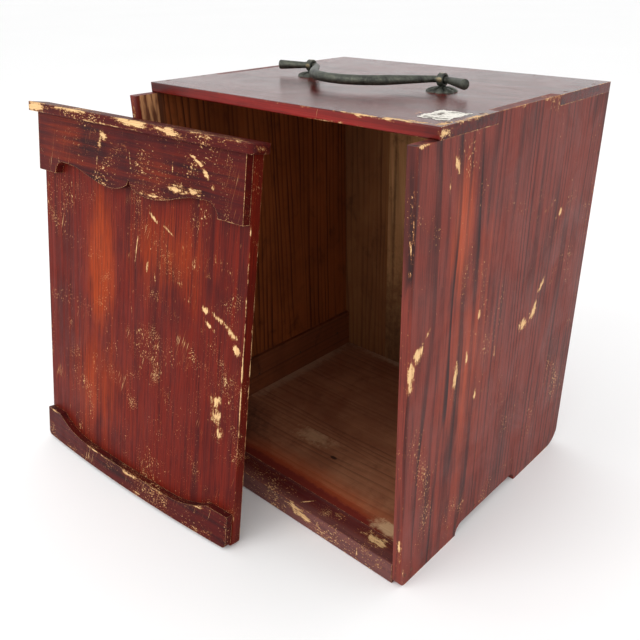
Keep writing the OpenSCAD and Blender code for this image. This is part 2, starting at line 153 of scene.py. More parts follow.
class Recipe:
    """A material in the making, with one short method for each kind of node."""

    def __init__(self, name: str, lay: Lay = BOX_LAY) -> None:
        """Starts an empty material whose patterns follow a piece's own axes.

        Args:
            name: The material's name.
            lay: Where the piece lies.
        """
        self.material = bpy.data.materials.new(name)
        self.material.use_nodes = True
        self.tree = self.material.node_tree
        self.tree.nodes.clear()
        out = self.tree.nodes.new("ShaderNodeOutputMaterial")
        self.shader = self.tree.nodes.new("ShaderNodeBsdfPrincipled")
        self.tree.links.new(self.shader.outputs["BSDF"], out.inputs["Surface"])
        coords = self.tree.nodes.new("ShaderNodeTexCoord")
        self.at = self.local(coords.outputs["Object"], lay.place, lay.turn)

    def _feed(self, node: bpy.types.Node, key: Union[int, str], value: object) -> None:
        """Links a socket, or sets a number, on one of a node's inputs."""
        if isinstance(value, Socket):
            self.tree.links.new(value, node.inputs[key])
        elif value is not None:
            node.inputs[key].default_value = value

    def local(self, at: Socket, place: Sequence[float], turn: Sequence[float] = (0, 0, 0),
              size: Sequence[float] = (1, 1, 1)) -> Socket:
        """Coordinates in a frame that is moved, turned and sized: (at - place) unturned / size."""
        node = self.tree.nodes.new("ShaderNodeMapping")
        node.vector_type = "TEXTURE"
        self._feed(node, "Vector", at)
        node.inputs["Location"].default_value = place
        node.inputs["Rotation"].default_value = turn
        node.inputs["Scale"].default_value = size
        return node.outputs["Vector"]

    def vector(self, op: str, a: object, b: object = None) -> bpy.types.Node:
        """A vector-math node."""
        node = self.tree.nodes.new("ShaderNodeVectorMath")
        node.operation = op
        self._feed(node, 0, a)
        self._feed(node, 1, b)
        return node

    def calc(self, op: str, a: Value, b: Optional[Value] = None, c: Optional[Value] = None) -> Socket:
        """A math node's result.

        Args:
            op: Blender's name of the operation.
            a: First value.
            b: Second value.
            c: Third value.

        Returns:
            The result's socket.
        """
        node = self.tree.nodes.new("ShaderNodeMath")
        node.operation = op
        for key, value in enumerate((a, b, c)):
            self._feed(node, key, value)
        return node.outputs[0]

    def fma(self, a: Value, b: Value, c: Value) -> Socket:
        """The first value times the second, plus the third."""
        return self.calc("MULTIPLY_ADD", a, b, c)

    def times(self, a: Value, b: Value) -> Socket:
        """The product of two values."""
        return self.calc("MULTIPLY", a, b)

    def parts(self, at: Socket) -> tuple[Socket, Socket, Socket]:
        """The X, Y and Z of a vector."""
        node = self.tree.nodes.new("ShaderNodeSeparateXYZ")
        self._feed(node, 0, at)
        return node.outputs[0], node.outputs[1], node.outputs[2]

    def noise(self, at: Socket, size: Sequence[float], detail: float = 3.0, rough: float = 0.5,
              twist: float = 0.0, seed: float = 0.0) -> Socket:
        """Cloudy noise from 0 to 1 whose lumps have the given size along each axis, in metres."""
        node = self.tree.nodes.new("ShaderNodeTexNoise")
        node.noise_dimensions = "3D"
        place = tuple(seed * step for step in SEED_STEP)
        self._feed(node, "Vector", self.local(at, place, (0, 0, 0), size))
        node.inputs["Scale"].default_value = 1.0
        node.inputs["Detail"].default_value = detail
        node.inputs["Roughness"].default_value = rough
        node.inputs["Distortion"].default_value = twist
        return node.outputs[0]

    def span(self, value: Value, low: float, high: float, out_low: float = 0.0,
             out_high: float = 1.0) -> Socket:
        """Maps low..high to out_low..out_high, with soft ends."""
        node = self.tree.nodes.new("ShaderNodeMapRange")
        node.interpolation_type = "SMOOTHSTEP"
        for key, number in zip(range(5), (value, low, high, out_low, out_high)):
            self._feed(node, key, number)
        return node.outputs[0]

    def ramp(self, value: Value, stops: Iterable[tuple[float, Colour]]) -> Socket:
        """A colour looked up along stops of (place, colour)."""
        node = self.tree.nodes.new("ShaderNodeValToRGB")
        band = node.color_ramp.elements
        listed = list(stops)
        while len(band) < len(listed):
            band.new(0.5)
        for stop, (place, colour) in zip(band, listed):
            stop.position = place
            stop.color = (*colour, 1.0)
        self._feed(node, 0, value)
        return node.outputs[0]

    def blend(self, share: Value, a: Union[Socket, Colour], b: Union[Socket, Colour]) -> Socket:
        """Mixes two colours."""
        node = self.tree.nodes.new("ShaderNodeMix")
        node.data_type = "RGBA"
        self._feed(node, 0, share)
        for key, value in ((6, a), (7, b)):
            self._feed(node, key, value if isinstance(value, Socket) else (*value, 1.0))
        return node.outputs[2]

    def lift(self, share: Value, a: Value, b: Value) -> Socket:
        """Mixes two numbers: a + (b - a) * share."""
        node = self.tree.nodes.new("ShaderNodeMix")
        node.data_type = "FLOAT"
        for key, value in ((0, share), (2, a), (3, b)):
            self._feed(node, key, value)
        return node.outputs[0]

    def arris(self, low: Sequence[float], high: Sequence[float]) -> Socket:
        """Distance to the nearest long edge of a board-shaped piece.

        On a face one of the three distances to the sides of the piece's box is nought, so the
        middle one of the three is the distance to the nearest edge: the smallest of the pairwise
        larger ones.

        Args:
            low: Lowest corner of the piece.
            high: Highest corner of the piece.

        Returns:
            The distance's socket, in metres.
        """
        above = self.vector("SUBTRACT", self.at, tuple(low))
        below = self.vector("SUBTRACT", tuple(high), self.at)
        near = self.vector("MINIMUM", above.outputs[0], below.outputs[0])
        x, y, z = self.parts(near.outputs[0])
        pairs = [self.calc("MAXIMUM", a, b) for a, b in ((x, y), (y, z), (x, z))]
        return self.calc("MINIMUM", self.calc("MINIMUM", pairs[0], pairs[1]), pairs[2])

    def corner(self, radius: float) -> Socket:
        """How sharp the surface is at a point: 0 on a flat face, up to about 0.3 at a square edge."""
        soft = self.tree.nodes.new("ShaderNodeBevel")
        soft.samples = 6
        soft.inputs["Radius"].default_value = radius
        true = self.tree.nodes.new("ShaderNodeNewGeometry")
        dot = self.vector("DOT_PRODUCT", soft.outputs[0], true.outputs["True Normal"]).outputs["Value"]
        return self.calc("SUBTRACT", 1.0, dot)

    def spots(self, places: Sequence["Spot"]) -> Socket:
        """How far inside the nearest worn place a point is: 1 in its middle, 0 at its rim."""
        best: Value = -9.0
        for spot in places:
            inside = self.local(self.at, spot.place, spot.turn, spot.size)
            far = self.vector("LENGTH", inside).outputs["Value"]
            best = self.calc("MAXIMUM", self.fma(far, -spot.depth, spot.depth), best)
        return best

    def bump(self, height: Value, distance: float, strength: float = 1.0) -> Socket:
        """A bumped normal from a height between 0 and 1 that stands for a distance in metres."""
        node = self.tree.nodes.new("ShaderNodeBump")
        node.inputs["Strength"].default_value = strength
        node.inputs["Distance"].default_value = distance
        self._feed(node, "Height", height)
        return node.outputs[0]

    def finish(self, colour: Socket, rough: Socket, normal: Socket, metal: Value = 0.0,
               gloss: float = 0.5) -> bpy.types.Material:
        """Joins everything to the shader.

        Args:
            colour: Base colour.
            rough: Roughness.
            normal: Normal.
            metal: How metallic the surface is.
            gloss: Level of the plain reflection.

        Returns:
            The finished material.
        """
        sockets = {"Base Color": colour, "Roughness": rough, "Normal": normal, "Metallic": metal,
                   "Specular IOR Level": gloss}
        for key, value in sockets.items():
            self._feed(self.shader, key, value)
        return self.material


@dataclass(frozen=True)
class Spot:
    """A worn place: an ellipsoid along the piece's own axes, in metres, and how deep the wear is."""

    place: Colour
    size: Colour
    turn: Colour = (0.0, 0.0, 0.0)
    depth: float = 1.0


def spot(x: float, y: float, z: float, a: float, b: float, c: float, turn: float = 0.0,
         about: Axis = Axis.Y, depth: float = 1.0) -> Spot:
    """A worn place given in millimetres.

    Args:
        x: Middle across.
        y: Middle from front to back.
        z: Middle in height.
        a: Half its size along X.
        b: Half its size along Y.
        c: Half its size along Z.
        turn: Degrees that it is turned.
        about: The axis it is turned about.
        depth: How deep the wear goes in its middle.

    Returns:
        The worn place, in metres.
    """
    angles = [0.0, 0.0, 0.0]
    angles[about.value] = math.radians(turn)
    return Spot((x * MM, y * MM, z * MM), (a * MM, b * MM, c * MM), tuple(angles), depth)


def marks(about: Axis, start: Colour, rows: Iterable[Sequence[float]]) -> list[Spot]:
    """Worn places that are all turned about one axis, given in millimetres and degrees.

    Args:
        about: The axis.
        start: The point that their middles are measured from.
        rows: For each, its middle, its three half sizes, and where they aren't 0 and 1 its turn
            and its depth.

    Returns:
        The worn places, in the same order.
    """
    places = []
    for x, y, z, a, b, c, *rest in rows:
        turn, depth = (*rest, *(0.0, 1.0)[len(rest):])
        places.append(spot(start[0] + x, start[1] + y, start[2] + z, a, b, c, turn, about, depth))
    return places


@dataclass(frozen=True)
class Grain:
    """How a board's annual rings show: their direction, pitch in metres and waviness."""

    along: Axis = Axis.Z
    pitch: float = 0.0042
    wave: float = 4.0
    seed: float = 1.0
    bold: Optional[tuple[float, float]] = None

    def stretch(self, across: float, along: float) -> Colour:
        """Noise sizes that are long along the grain and short across it."""
        sizes = [across, across, across]
        sizes[self.along.value] = along
        return (sizes[0], sizes[1], sizes[2])

    def rings(self, r: Recipe, place: Socket, pitch: float, wave: float, width: float,
              seed: float) -> Socket:
        """Ring lines of one pitch.

        The number of rings passed is the distance across over the pitch, plus soft noise that is
        stretched along the grain. Each ring darkens slowly and ends sharply, and slower noise
        makes some rings strong and some faint.

        Args:
            r: The material in the making.
            place: Distance across the board.
            pitch: Mean distance between rings.
            wave: How many rings the noise moves the lines by.
            width: The share of each ring that is dark.
            seed: Moves the noise.

        Returns:
            The ring tone, from 0 to 1.
        """
        wander = r.noise(r.at, self.stretch(0.034, 0.30), 2.5, 0.5, 0.0, seed)
        count = r.fma(wander, wave, r.calc("DIVIDE", place, pitch))
        ring = r.calc("FRACT", count)
        saw = r.times(r.span(ring, 0.92 - width, 0.90), r.span(ring, 0.92, 1.0, 1.0, 0.0))
        strong = r.noise(r.at, self.stretch(0.009, 0.22), 2.0, 0.5, 0.0, seed + 1)
        return r.times(saw, r.span(strong, 0.32, 0.66, 0.12, 1.0))

    def draw(self, r: Recipe, face: Axis) -> tuple[Socket, Socket]:
        """Ring lines and fine fibre.

        Args:
            r: The material in the making.
            face: The axis across which the rings are counted.

        Returns:
            The ring tone and the fibre tone, each from 0 to 1.
        """
        place = r.parts(r.at)[face.value]
        tone = self.rings(r, place, self.pitch, self.wave, 0.55, self.seed)
        if self.bold is not None:
            limit, pitch = self.bold
            coarse = self.rings(r, place, pitch, 3.4, 0.42, self.seed + 60)
            near = r.span(place, limit - 0.012, limit + 0.012, 1.0, 0.0)
            tone = r.lift(near, r.times(tone, 0.75), coarse)
        fibre = r.noise(r.at, self.stretch(0.0007, 0.040), 4.0, 0.7, 0.0, self.seed + 3)
        return tone, fibre


@dataclass(frozen=True)
class Timber:
    """Bare aged wood."""

    pale: Colour = (0.46, 0.27, 0.115)
    warm: Colour = (0.27, 0.125, 0.045)
    dark: Colour = (0.085, 0.032, 0.013)
    grime: float = 0.5
    line: float = 0.55

    def colour(self, r: Recipe, tone: Socket, fibre: Socket, seed: float) -> Socket:
        """The wood's colour.

        Args:
            r: The material in the making.
            tone: The rings' tone.
            fibre: The fibre's tone.
            seed: Moves the stains.

        Returns:
            The colour's socket.
        """
        stain = r.noise(r.at, (0.06, 0.06, 0.11), 4.0, 0.6, 0.4, seed)
        base = r.ramp(r.span(stain, 0.28, 0.72), [(0.0, self.warm), (1.0, self.pale)])
        ringed = r.blend(r.times(tone, self.line), base, self.dark)
        fibred = r.blend(r.span(fibre, 0.35, 0.75, 0.0, 0.55), ringed, self.warm)
        dirt = r.noise(r.at, (0.018, 0.018, 0.030), 5.0, 0.7, 0.5, seed + 5)
        return r.blend(r.span(dirt, 0.50, 0.78, 0.0, self.grime), fibred, self.dark)


@dataclass(frozen=True)
class Lacquer:
    """Red lacquer worn thin over wood, with chips down to the pale wood."""

    deep: Colour = (0.050, 0.0080, 0.0080)
    red: Colour = (0.185, 0.0200, 0.0100)
    glow: Colour = (0.36, 0.052, 0.0110)
    wood: Colour = (0.80, 0.52, 0.25)
    rim: Colour = (0.36, 0.125, 0.040)
    gloss: float = 0.34
    edge: float = 0.0011
    flecks: float = 0.50
    scratch: float = 0.5
    shine: float = 0.20
    smear: float = 0.20
    line: float = 0.62
    even: float = 0.12
    fibre: float = 0.50
    carved: bool = False
    relief: bool = True

    def wear(self, r: Recipe, edge: Socket, places: Sequence[Spot], grain: Grain) -> Socket:
        """How worn each point is: past 0.5 the lacquer is gone.

        The wear is the largest of the nearness to an edge and the depth inside a worn place, each
        roughened by noise, and of small flecks and thin scratches where fine noise peaks.

        Args:
            r: The material in the making.
            edge: Distance to the nearest edge.
            places: Worn places.
            grain: The board's grain, which splinters follow.

        Returns:
            The wear's socket.
        """
        seed = grain.seed
        coarse = r.noise(r.at, (0.011, 0.011, 0.011), 6.0, 0.75, 0.4, seed)
        torn = r.noise(r.at, grain.stretch(0.0013, 0.0085), 5.0, 0.75, 0.0, seed + 2)
        ragged = r.fma(torn, 2.3, r.fma(coarse, 2.4, -2.35))
        rim = r.fma(edge, -1.0 / self.edge, 0.55)
        worn = r.fma(ragged, 0.62, rim)
        if self.carved:
            sharp = r.fma(r.corner(0.0009), 2.2, -0.22)
            worn = r.calc("MAXIMUM", worn, r.fma(ragged, 0.55, sharp))
        if places:
            worn = r.calc("MAXIMUM", worn, r.calc("ADD", r.spots(places), r.calc("ADD", ragged, -0.16)))
        speck = r.noise(r.at, grain.stretch(0.0011, 0.0022), 2.0, 0.6, 0.0, seed + 4)
        cloud = r.noise(r.at, (0.035, 0.035, 0.050), 3.0, 0.55, 0.0, seed + 6)
        fleck = r.fma(cloud, 2.6, self.flecks * 0.35 - 3.62)
        worn = r.calc("MAXIMUM", worn, r.fma(speck, 3.0, fleck))
        for turn, key in (((0.5, 0.9, 0.2), 8), ((-0.3, -0.7, 1.1), 9), ((0.1, 0.25, 0.4), 10)):
            turned = r.local(r.at, (0, 0, 0), turn)
            lines = r.noise(turned, (0.00055, 0.00055, 0.035), 1.0, 0.5, 0.0, seed + key)
            where = r.noise(r.at, (0.026, 0.026, 0.026), 2.0, 0.5, 0.0, seed + key + 2)
            scored = r.fma(where, 2.6, self.scratch * 0.35 - 3.48)
            worn = r.calc("MAXIMUM", worn, r.fma(lines, 2.6, scored))
        return worn

    def paint(self, r: Recipe, tone: Socket, fibre: Socket, wear: Socket, glows: Sequence[Spot],
              grain: Grain) -> tuple[Socket, Socket, Socket]:
        """The lacquer's colour, roughness and height.

        Args:
            r: The material in the making.
            tone: The rings' tone.
            fibre: The fibre's tone.
            wear: How worn each point is.
            glows: Places where the lacquer is thin and the wood glows through.
            grain: The board's grain.

        Returns:
            Colour, roughness and height sockets.
        """
        seed = grain.seed
        cloud = r.noise(r.at, (0.060, 0.060, 0.080), 4.0, 0.6, 0.3, seed + 11)
        streak = r.noise(r.at, grain.stretch(0.0065, 0.16), 4.0, 0.6, 0.0, seed + 12)
        mixed = r.fma(streak, 0.60, r.times(cloud, 0.45))
        body = r.blend(r.span(mixed, 0.38, 0.56, self.even, 1.0), self.deep, self.red)
        if glows:
            soft = r.fma(r.calc("SUBTRACT", mixed, 0.5), 1.8, r.spots(glows))
            body = r.blend(r.span(soft, 0.0, 0.95, 0.0, 0.92), body, self.glow)
        lined = r.blend(r.times(tone, self.line), body, self.deep)
        fibred = r.blend(r.span(fibre, 0.46, 0.70, 0.0, self.fibre), lined, self.deep)
        thin = r.blend(r.span(wear, 0.26, 0.50, 0.0, 0.80), fibred, self.rim)
        bare = r.blend(r.span(fibre, 0.44, 0.66, 0.0, 0.55), self.wood, self.rim)
        gone = r.span(wear, 0.49, 0.54)
        colour = r.blend(gone, thin, bare)
        smear = r.noise(r.at, (0.030, 0.030, 0.045), 4.0, 0.65, 0.6, seed + 13)
        sheen = r.span(smear, 0.25, 0.75, self.gloss, self.gloss + self.smear)
        rough = r.lift(gone, r.fma(fibre, 0.12, sheen), 0.74)
        height = r.fma(fibre, 0.22, r.times(tone, -0.10))
        if self.relief:
            height = r.fma(gone, -0.6, height)
        return colour, rough, height


class Carpentry:
    """Gives each wooden piece its grain, its lacquer and its wear."""

    def __init__(self) -> None:
        """Sets the lacquer that most pieces share."""
        self.lacquer = Lacquer()

    @staticmethod
    def dress(node: str, material: bpy.types.Material) -> None:
        """Puts a material on a CAD node."""
        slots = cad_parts[node].material_slots
        for entry in slots:
            entry.link = "OBJECT"
            entry.material = material
        log.info("dressed %s in %s", node, material.name)

    def lacquered(self, node: str, grain: Grain, face: Axis, places: Sequence[Spot] = (),
                  glows: Sequence[Spot] = (), lay: Lay = BOX_LAY, lacquer: Optional[Lacquer] = None,
                  bare: Optional["Inside"] = None) -> None:
        """Dresses a lacquered board.

        Args:
            node: The CAD node.
            grain: Its grain.
            face: The axis across which its rings are counted.
            places: Worn places.
            glows: Places where the wood glows through.
            lay: Where the piece lies.
            lacquer: Its lacquer, where it isn't the usual one.
            bare: Its unlacquered faces, where it has any.
        """
        coat = lacquer or self.lacquer
        r = Recipe("lacquer_" + node, lay)
        low, high = lay.local_box(node)
        tone, fibre = grain.draw(r, face)
        wear = coat.wear(r, r.arris(low, high), places, grain)
        colour, rough, height = coat.paint(r, tone, fibre, wear, glows, grain)
        if bare is not None:
            share = bare.share(r)
            raw = bare.colour(r, tone, fibre, grain.seed)
            colour = r.blend(share, colour, raw)
            rough = r.lift(share, rough, 0.62)
            height = r.lift(share, height, r.fma(fibre, 0.3, r.times(tone, -0.3)))
        self.dress(node, r.finish(colour, rough, r.bump(height, RELIEF), gloss=coat.shine))

    def plain(self, node: str, grain: Grain, face: Axis, timber: Timber,
              outer: Optional["Outer"] = None, lay: Lay = BOX_LAY,
              stains: Sequence["Stain"] = ()) -> None:
        """Dresses a bare board.

        Args:
            node: The CAD node.
            grain: Its grain.
            face: The axis across which its rings are counted.
            timber: Its wood.
            outer: Its lacquered face, where it has one.
            lay: Where the piece lies.
            stains: Marks on the wood.
        """
        r = Recipe("wood_" + node, lay)
        tone, fibre = grain.draw(r, face)
        colour = timber.colour(r, tone, fibre, grain.seed)
        for stain in stains:
            colour = stain.lay_on(r, colour, grain.seed)
        rough = r.span(fibre, 0.2, 0.8, 0.55, 0.78)
        height = r.fma(fibre, 0.35, r.times(tone, -0.3))
        if outer is not None:
            low, high = lay.local_box(node)
            wear = self.lacquer.wear(r, r.arris(low, high), (), grain)
            red, red_rough, red_height = self.lacquer.paint(r, tone, fibre, wear, (), grain)
            share = outer.share(r)
            colour = r.blend(share, colour, red)
            rough = r.lift(share, rough, red_rough)
            height = r.lift(share, height, red_height)
        self.dress(node, r.finish(colour, rough, r.bump(height, RELIEF), gloss=0.3))


@dataclass(frozen=True)
class Outer:
    """The half of space past a plane, where a board is lacquered."""

    axis: Axis
    past: float
    sign: float = 1.0

    def share(self, r: Recipe) -> Socket:
        """1 on the far side of the plane and 0 on the near side."""
        place = r.times(r.parts(r.at)[self.axis.value], self.sign)
        return r.calc("GREATER_THAN", place, self.past * self.sign)


@dataclass(frozen=True)
class Stain:
    """A coloured mark on bare wood: a worn place's shape with a soft, ragged rim."""

    where: Spot
    colour: Colour
    strength: float = 1.0
    soft: float = 0.5
    ragged: float = 1.0

    def lay_on(self, r: Recipe, under: Socket, seed: float) -> Socket:
        """Lays the mark over a colour.

        Args:
            r: The material in the making.
            under: The colour under it.
            seed: Moves the ragged rim.

        Returns:
            The colour with the mark on it.
        """
        rag = r.noise(r.at, (0.006, 0.006, 0.006), 5.0, 0.7, 0.3, seed + 21)
        inside = r.fma(r.calc("SUBTRACT", rag, 0.5), self.ragged, r.spots([self.where]))
        return r.blend(r.span(inside, 0.0, self.soft, 0.0, self.strength), under, self.colour)


@dataclass(frozen=True)
class Inside:
    """A side or top board's unlacquered inner face, what has marked it, and on the side boards a band
    of painted shade.
    """

    axis: Axis
    past: float
    sign: float
    timber: Timber
    # rubbed also turns on the band of painted shade behind the rubbed strip
    rubbed: bool = False

    def share(self, r: Recipe) -> Socket:
        """1 on the inner face and 0 elsewhere: the lacquer runs a little round the front edge."""
        place = r.times(r.parts(r.at)[self.axis.value], self.sign)
        inner = r.calc("GREATER_THAN", place, self.past * self.sign)
        if not self.rubbed:
            return inner
        rag = r.noise(r.at, (0.004, 0.004, 0.012), 4.0, 0.65, 0.0, 31.0)
        y = r.fma(r.calc("SUBTRACT", rag, 0.5), 0.003, r.parts(r.at)[1])
        return r.times(inner, r.span(y, SIZES.front_y + 0.0030, SIZES.front_y + 0.0042))

    def colour(self, r: Recipe, tone: Socket, fibre: Socket, seed: float) -> Socket:
        """The inner face's colour: raw where the door rubs, then a band of painted shade where the top
        board's shadow begins, brown and streaked behind.
        """
        wood = self.timber.colour(r, tone, fibre, seed + 40)
        if not self.rubbed:
            return wood
        rag = r.noise(r.at, (0.003, 0.003, 0.030), 3.0, 0.6, 0.0, 33.0)
        y = r.fma(r.calc("SUBTRACT", rag, 0.5), 0.0030, r.parts(r.at)[1])
        front = SIZES.front_y
        raw = r.span(y, front + 0.0185, front + 0.0200, 1.0, 0.0)
        # Painted shade: a dark band just behind the rubbed strip, where the shadow under the top
        # board's front edge begins
        painted_shade_band = r.times(r.span(y, front + 0.0195, front + 0.0205),
                       r.span(y, front + 0.022, front + 0.027, 1.0, 0.0))
        fresh = r.blend(r.span(rag, 0.40, 0.60, 0.0, 0.9), (0.50, 0.240, 0.105), (0.10, 0.024, 0.012))
        wood = r.blend(r.times(painted_shade_band, 0.75), wood, (0.040, 0.016, 0.010))
        return r.blend(raw, wood, fresh)


@dataclass(frozen=True)
class Bronze:
    """Dark grey-green patina over bronze, rubbed bright where metal has run on metal."""

    dark: Colour = (0.022, 0.022, 0.019)
    green: Colour = (0.085, 0.090, 0.074)
    bloom: Colour = (0.14, 0.145, 0.11)
    brass: Colour = (0.20, 0.165, 0.100)

    def make(self, name: str, rubs: Sequence[Spot]) -> bpy.types.Material:
        """Makes the material.

        Args:
            name: The material's name.
            rubs: Places rubbed bright.

        Returns:
            The material.
        """
        r = Recipe(name)
        cloud = r.noise(r.at, (0.006, 0.006, 0.006), 6.0, 0.65, 0.4, 2.0)
        pits = r.noise(r.at, (0.0011, 0.0011, 0.0011), 4.0, 0.7, 0.0, 5.0)
        mix = r.fma(pits, 0.5, r.times(cloud, 0.7))
        tones = [(0.0, self.dark), (0.6, self.green), (1.0, self.bloom)]
        patina = r.ramp(r.span(mix, 0.40, 0.78), tones)
        worn = r.span(r.fma(cloud, 1.0, r.calc("ADD", r.spots(rubs), -0.60)), 0.05, 0.45)
        colour = r.blend(worn, patina, self.brass)
        rough = r.lift(worn, r.span(pits, 0.3, 0.7, 0.38, 0.62), 0.28)
        metal = r.lift(worn, r.span(mix, 0.4, 0.8, 0.55, 0.85), 1.0)
        return r.finish(colour, rough, r.bump(mix, 0.0005, 0.7), metal=metal)


def new_piece(name: str, points: np.ndarray, faces: Sequence[Sequence[int]],
              material: bpy.types.Material) -> bpy.types.Object:
    """Makes a mesh from points and faces and puts it in the scene.

    Args:
        name: The piece's name.
        points: Places, one row each, in metres.
        faces: Corner numbers of each face.
        material: Its material.

    Returns:
        The piece.
    """
    mesh = bpy.data.meshes.new(name)
    mesh.from_pydata(points.tolist(), [], faces)
    mesh.materials.append(material)
    mesh.validate()
    mesh.update()
    piece = bpy.data.objects.new(name, mesh)
    bpy.context.scene.collection.objects.link(piece)
    return piece


def put_mesh(name: str, points: np.ndarray, faces: np.ndarray, body: str,
             material: bpy.types.Material, ends: Sequence[Sequence[int]] = ()) -> bpy.types.Object:
    """Makes a finished piece from points and four-sided faces, and lets it ride on a body.

    Args:
        name: The piece's name.
        points: Places, one row each, in metres.
        faces: Corner numbers, one row of four each.
        body: The CAD body that it rides on.
        material: Its material.
        ends: Corner numbers of the three-sided faces that close its ends.

    Returns:
        The piece.
    """
    piece = new_piece(name, points, faces.tolist() + list(ends), material)
    piece.data.polygons.foreach_set("use_smooth", np.full(len(piece.data.polygons), True))
    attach(piece, body)
    log.info("made %s: %d faces", name, len(piece.data.polygons))
    return piece


def grid_faces(rows: int, columns: int, closed: bool = True) -> np.ndarray:
    """Faces of a grid of points whose columns run round: each joins a point to the next ring's.

    Args:
        rows: Number of rings.
        columns: Points in a ring.
        closed: Whether the last column joins the first.

    Returns:
        One row of four corner numbers for each face.
    """
    across = columns if closed else columns - 1
    row, column = np.meshgrid(np.arange(rows - 1), np.arange(across), indexing="ij")
    a, b = row * columns + column, row * columns + (column + 1) % columns
    return np.stack([a, b, b + columns, a + columns], axis=-1).reshape(-1, 4)


@dataclass
class Handle:
    """The bronze bail, its rosettes and its eyes."""

    span: float = 0.128
    pivot_y: float = 0.116
    pivot_z: float = 0.3408
    journal_r: float = 0.0024
    grip_r: float = 0.0035
    stub_r: float = 0.0037
    reach: float = 0.0433
    arm: float = 50.0
    stub_len: float = 0.022
    stub: float = 27.0
    journal_half: float = 0.0037
    bend_r: float = 0.0053
    rosette_r: float = 0.0115
    rosette_h: float = 0.0032
    tip: float = 0.0009
    tip_in: float = 0.16
    stations: int = 181
    sides: int = 40
    petals: int = 8
    bronze: Bronze = field(default_factory=Bronze)

    def centre_line(self) -> tuple[np.ndarray, np.ndarray, np.ndarray]:
        """Half the bail's centre line, from the middle of its grip to the end of a stub.

        The heading is a broken line over the length run: it turns at a steady rate through the
        bow, the two bends and nowhere else. The place is the running sum of the steps along it.

        Returns:
            Places (x, y), heading and radius at each station.
        """
        arm, stub = math.radians(self.arm), math.radians(self.stub)
        drop = 1 - math.cos(arm)
        x = self.span / 2 - self.journal_half - self.bend_r * math.sin(arm)
        y = self.reach - self.bend_r * drop
        arm_len = (y * math.sin(arm) - x * drop) / drop
        bow = (x * math.sin(arm) - y * math.cos(arm)) / drop
        lengths = np.array([0, bow * arm, arm_len, self.bend_r * arm, 2 * self.journal_half,
                            self.bend_r * stub, self.stub_len])
        run = np.cumsum(lengths)
        heads = np.array([0, -arm, -arm, 0, 0, stub, stub])
        s = np.linspace(0, run[-1], self.stations)
        heading = np.interp(s, run, heads)
        step = np.diff(s)
        middle = np.interp((s[1:] + s[:-1]) / 2, run, heads)
        places = np.zeros((len(s), 2))
        places[1:, 0] = np.cumsum(step * np.cos(middle))
        places[1:, 1] = np.cumsum(step * np.sin(middle))
        places[:, 1] += self.reach
        thick = np.array([self.grip_r, self.grip_r, self.journal_r, self.journal_r, self.journal_r,
                          self.journal_r, self.stub_r])
        radius = np.interp(s, run, thick)
        tip = np.clip((s - (run[-1] - self.tip)) / self.tip, 0, 1)
        return places, heading, radius * (1 - self.tip_in * tip ** 2)

    def bail(self) -> None:
        """The bail: a round section carried along its centre line, a little uneven as forged."""
        places, heading, radius = self.centre_line()
        flip = slice(None, 0, -1)
        line = np.concatenate([places[flip] * (-1, 1), places])
        turn = np.concatenate([-heading[flip], heading])
        thick = np.concatenate([radius[flip], radius])
        t = np.linspace(0, 2 * math.pi, self.sides, endpoint=False)[None, :]
        run = np.linspace(0, 1, len(line))[:, None]
        uneven = 1 - 0.009 * (1 + np.sin(3 * t + 40 * run) * np.cos(61 * run + 1.3 * np.sin(2 * t)))
        r = thick[:, None] * uneven
        x = line[:, :1] - r * np.cos(t) * np.sin(turn)[:, None]
        y = line[:, 1:] + r * np.cos(t) * np.cos(turn)[:, None]
        z = r * np.sin(t)
        points = np.stack([-x, self.pivot_y - y, self.pivot_z + z], axis=-1).reshape(-1, 3)
        caps = np.stack([points[: self.sides].mean(axis=0), points[-self.sides:].mean(axis=0)])
        count = len(points)
        k = np.arange(self.sides)
        n = (k + 1) % self.sides
        last = count - self.sides
        first_end = np.stack([n, k, np.full_like(k, count)], axis=-1)
        last_end = np.stack([last + k, last + n, np.full_like(k, count + 1)], axis=-1)
        middle, height = self.pivot_y / MM, self.pivot_z / MM
        rubs = [spot(side * (self.span / MM / 2 + off), middle, height, 0.9, 3.6, 3.6)
                for side in (-1, 1) for off in (-3.9, 3.9)]
        piece = put_mesh("forged_bail", np.vstack([points, caps]), grid_faces(len(line), self.sides),
                         "handle", self.bronze.make("bronze_bail", rubs),
                         np.vstack([first_end, last_end]).tolist())
        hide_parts("bail")

    def rubbed(self, side: int, rows: Iterable[Sequence[float]]) -> list[Spot]:
        """Rubbed places measured from the top board under one of the bail's pivots."""
        return marks(Axis.Y, (side * self.span / 2 / MM, self.pivot_y / MM, SIZES.top_z / MM), rows)

    def rosette(self, side: int, name: str) -> None:
        """A domed rosette of petals.

        The height is a dome less a groove between petals, and the rim's radius dips at each
        groove: both follow the cosine of the angle times the number of petals.

        Args:
            side: -1 for the left one and 1 for the right one.
            name: The CAD node that it replaces.
        """
        rings, around = 36, 160
        u = np.linspace(0, 1, rings)[:, None]
        t = np.linspace(0, 2 * math.pi, around, endpoint=False)[None, :]
        petal = 0.5 - 0.5 * np.cos(self.petals * t)
        groove = (1 - petal) ** 3
        radius = self.rosette_r * u * (1 - 0.10 * (1 - petal) ** 2 * u ** 3)
        dome = np.sqrt(np.clip(1 - u ** 2.6, 0, 1))
        height = self.rosette_h * dome * (1 - 0.60 * groove * np.sin(math.pi * u) ** 0.6)
        x = side * self.span / 2 + radius * np.cos(t)
        y = self.pivot_y + radius * np.sin(t)
        z = SIZES.top_z + np.broadcast_to(height, x.shape)
        points = np.stack([x, y, z], axis=-1).reshape(-1, 3)
        piece = put_mesh("petal_" + name, points, grid_faces(rings, around), "box",
                         self.bronze.make("bronze_" + name, self.rubbed(side, [(0, 0, 3, 3, 3, 1.2)])))
        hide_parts(name)

